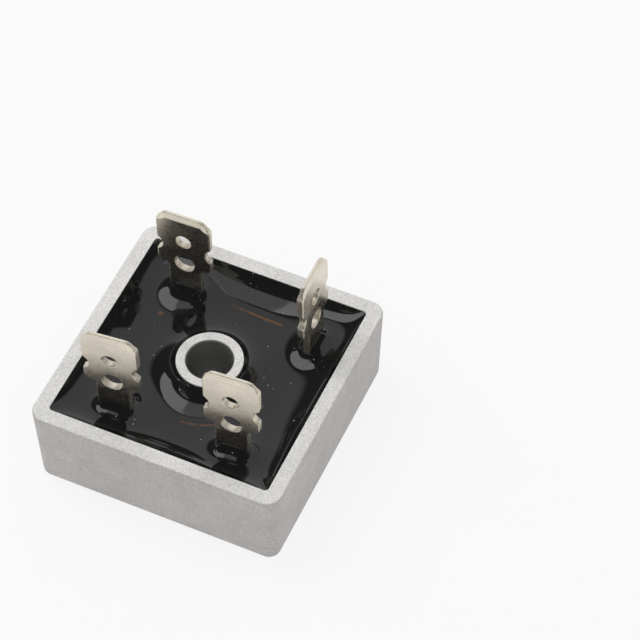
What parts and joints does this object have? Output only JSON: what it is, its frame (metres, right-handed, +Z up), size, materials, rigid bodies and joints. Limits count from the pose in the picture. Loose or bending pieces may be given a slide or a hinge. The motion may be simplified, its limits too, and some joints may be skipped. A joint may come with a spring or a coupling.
{
  "type": "bridge rectifier",
  "caption": "Square metal-case bridge rectifier: an aluminium cup with a central screw hub and push-on blades standing in black potting resin, to turn AC into DC.",
  "frame": {"origin": "centre of the case's flat base, on the axis of the screw bore", "axes": "+Z up along the bore towards the hub's top and the blade tips; -Y the front, the side of the negative and the right AC blade; +X the right, where the positive blade stands turned by a quarter"},
  "size_m": [0.0288, 0.0288, 0.022],
  "materials": {
    "case_aluminium": "fine sand-blasted, matte",
    "ceramic": "fired alumina",
    "copper": "bare copper sheet",
    "silicon": "metallised silicon",
    "solder": "soft solder, bright",
    "nickel_plate": "stamped brass sheet, nickel plated, satin",
    "phenolic_board": "brown paper laminate",
    "black_resin": "cast epoxy, glossy, slightly dusty"
  },
  "bodies": {
    "root": {"case": "case_aluminium", "insulator": "ceramic", "positive_plate": "copper", "negative_plate": "copper", "diode_back_left": "silicon", "diode_back_right": "silicon", "diode_front_left": "silicon", "diode_front_right": "silicon", "die_solder": "solder", "ac_strap_left": "copper", "ac_strap_right": "copper", "foot_solder": "solder", "terminal_ac_left": "nickel_plate", "terminal_negative": "nickel_plate", "terminal_ac_right": "nickel_plate", "terminal_positive": "nickel_plate", "locating_board": "phenolic_board", "potting_resin": "black_resin"}
  },
  "joints": []
}
